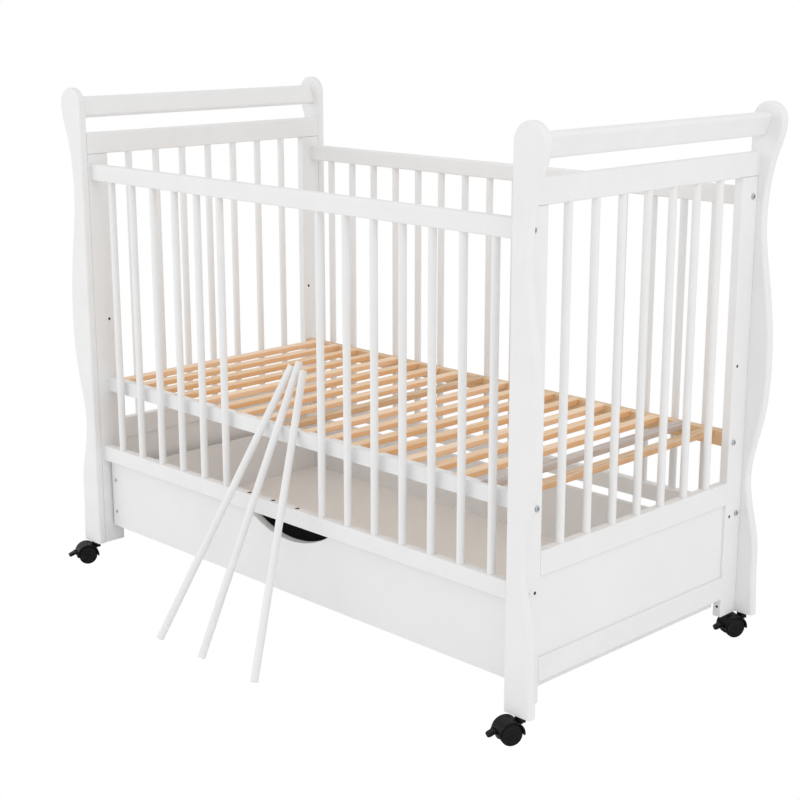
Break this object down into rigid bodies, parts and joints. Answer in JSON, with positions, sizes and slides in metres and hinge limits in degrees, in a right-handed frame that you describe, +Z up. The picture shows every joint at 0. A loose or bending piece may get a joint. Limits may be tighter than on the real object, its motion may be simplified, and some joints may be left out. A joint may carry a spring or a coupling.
{
  "type": "baby crib",
  "caption": "White wooden baby crib with sleigh-style ends, spindle sides, slatted pine base, under-bed drawer and twin-wheel casters, with loose spindles leaning in front.",
  "frame": {"origin": "on the floor, at the middle of the rectangle made by the four posts", "axes": "+X along the crib's length towards the right end seen from the drawer side, +Y away from the drawer side towards the back, +Z up"},
  "size_m": [1.336, 0.8621, 1.0479],
  "materials": {
    "white_painted_wood": "satin",
    "white_board": "satin",
    "beech": "matte",
    "zinc_plated_steel": "satin",
    "pine": "matte",
    "grey_pine": "matte",
    "dark_pine": "matte",
    "hardboard": "satin",
    "black_board": "matte",
    "black_nylon": "satin",
    "black_tread": "satin"
  },
  "bodies": {
    "frame": {"dowels": "beech", "frame_bolts": "zinc_plated_steel", "barrel_nuts": "zinc_plated_steel", "post_right_front": "white_painted_wood", "side_board_right_front": "white_painted_wood", "post_right_back": "white_painted_wood", "side_board_right_back": "white_painted_wood", "end_top_rail_right": "white_painted_wood", "end_bottom_rail_right": "white_painted_wood", "lower_rail_right": "white_painted_wood", "end_panel_right": "white_board", "handle_rail_right": "white_painted_wood", "end_spindles_right": "white_painted_wood", "post_left_front": "white_painted_wood", "side_board_left_front": "white_painted_wood", "post_left_back": "white_painted_wood", "side_board_left_back": "white_painted_wood", "end_top_rail_left": "white_painted_wood", "end_bottom_rail_left": "white_painted_wood", "lower_rail_left": "white_painted_wood", "end_panel_left": "white_board", "handle_rail_left": "white_painted_wood", "end_spindles_left": "white_painted_wood", "front_top_rail": "white_painted_wood", "front_bottom_rail": "white_painted_wood", "back_top_rail": "white_painted_wood", "back_bottom_rail": "white_painted_wood", "front_spindles": "white_painted_wood", "back_spindles": "white_painted_wood", "base_front_rail": "white_painted_wood", "base_back_rail": "pine", "base_slats": "pine", "base_slat_grey": "grey_pine", "base_slat_dark": "dark_pine", "drawer_runners": "white_painted_wood", "caster_stems": "zinc_plated_steel"},
    "drawer": {"drawer_front": "white_board", "drawer_side_right": "white_board", "drawer_side_left": "white_board", "drawer_back": "white_board", "drawer_bottom": "hardboard", "drawer_pull_backing": "black_board", "drawer_screws": "zinc_plated_steel"},
    "loose_spindle_1": {"loose_spindle_1": "white_painted_wood"},
    "loose_spindle_2": {"loose_spindle_2": "white_painted_wood"},
    "loose_spindle_3": {"loose_spindle_3": "white_painted_wood"},
    "swivel_right_front": {"caster_housing_right_front": "black_nylon"},
    "wheels_right_front": {"caster_wheels_right_front": "black_tread"},
    "brake_right_front": {"caster_brake_right_front": "black_nylon"},
    "swivel_right_back": {"caster_housing_right_back": "black_nylon"},
    "wheels_right_back": {"caster_wheels_right_back": "black_tread"},
    "brake_right_back": {"caster_brake_right_back": "black_nylon"},
    "swivel_left_front": {"caster_housing_left_front": "black_nylon"},
    "wheels_left_front": {"caster_wheels_left_front": "black_tread"},
    "brake_left_front": {"caster_brake_left_front": "black_nylon"},
    "swivel_left_back": {"caster_housing_left_back": "black_nylon"},
    "wheels_left_back": {"caster_wheels_left_back": "black_tread"},
    "brake_left_back": {"caster_brake_left_back": "black_nylon"}
  },
  "joints": [
    {"name": "drawer_slide", "type": "slide", "parent": "frame", "child": "drawer", "axis": [0, -1, 0], "range_m": [0, 0.42]},
    {"name": "loose_spindle_1_clear", "type": "slide", "parent": "frame", "child": "loose_spindle_1", "axis": [0, -1, 0], "range_m": [0, 0.42]},
    {"name": "loose_spindle_2_clear", "type": "slide", "parent": "frame", "child": "loose_spindle_2", "axis": [0, -1, 0], "range_m": [0, 0.42]},
    {"name": "loose_spindle_3_clear", "type": "slide", "parent": "frame", "child": "loose_spindle_3", "axis": [0, -1, 0], "range_m": [0, 0.42]},
    {"name": "right_front_swivel", "type": "hinge", "parent": "frame", "child": "swivel_right_front", "pos_m": [0.63, -0.335, 0.042], "axis": [0, 0, 1], "continuous": true},
    {"name": "right_front_wheels", "type": "hinge", "parent": "swivel_right_front", "child": "wheels_right_front", "pos_m": [0.62155, -0.35313, 0.02], "axis": [0.9063, -0.4226, 0], "continuous": true},
    {"name": "right_front_brake", "type": "hinge", "parent": "swivel_right_front", "child": "brake_right_front", "pos_m": [0.61022, -0.37742, 0.0257], "axis": [0.9063, -0.4226, 0], "range_deg": [0, 12]},
    {"name": "right_back_swivel", "type": "hinge", "parent": "frame", "child": "swivel_right_back", "pos_m": [0.63, 0.335, 0.042], "axis": [0, 0, 1], "continuous": true},
    {"name": "right_back_wheels", "type": "hinge", "parent": "swivel_right_back", "child": "wheels_right_back", "pos_m": [0.62155, 0.31687, 0.02], "axis": [0.9063, -0.4226, 0], "continuous": true},
    {"name": "right_back_brake", "type": "hinge", "parent": "swivel_right_back", "child": "brake_right_back", "pos_m": [0.61022, 0.29258, 0.0257], "axis": [0.9063, -0.4226, 0], "range_deg": [0, 12]},
    {"name": "left_front_swivel", "type": "hinge", "parent": "frame", "child": "swivel_left_front", "pos_m": [-0.63, -0.335, 0.042], "axis": [0, 0, 1], "continuous": true},
    {"name": "left_front_wheels", "type": "hinge", "parent": "swivel_left_front", "child": "wheels_left_front", "pos_m": [-0.63845, -0.35313, 0.02], "axis": [0.9063, -0.4226, 0], "continuous": true},
    {"name": "left_front_brake", "type": "hinge", "parent": "swivel_left_front", "child": "brake_left_front", "pos_m": [-0.64978, -0.37742, 0.0257], "axis": [0.9063, -0.4226, 0], "range_deg": [0, 12]},
    {"name": "left_back_swivel", "type": "hinge", "parent": "frame", "child": "swivel_left_back", "pos_m": [-0.63, 0.335, 0.042], "axis": [0, 0, 1], "continuous": true},
    {"name": "left_back_wheels", "type": "hinge", "parent": "swivel_left_back", "child": "wheels_left_back", "pos_m": [-0.63845, 0.31687, 0.02], "axis": [0.9063, -0.4226, 0], "continuous": true},
    {"name": "left_back_brake", "type": "hinge", "parent": "swivel_left_back", "child": "brake_left_back", "pos_m": [-0.64978, 0.29258, 0.0257], "axis": [0.9063, -0.4226, 0], "range_deg": [0, 12]}
  ],
  "couplings": [
    {"joint": "loose_spindle_1_clear", "follows": "drawer_slide", "ratio": 1},
    {"joint": "loose_spindle_2_clear", "follows": "drawer_slide", "ratio": 1},
    {"joint": "loose_spindle_3_clear", "follows": "drawer_slide", "ratio": 1}
  ]
}
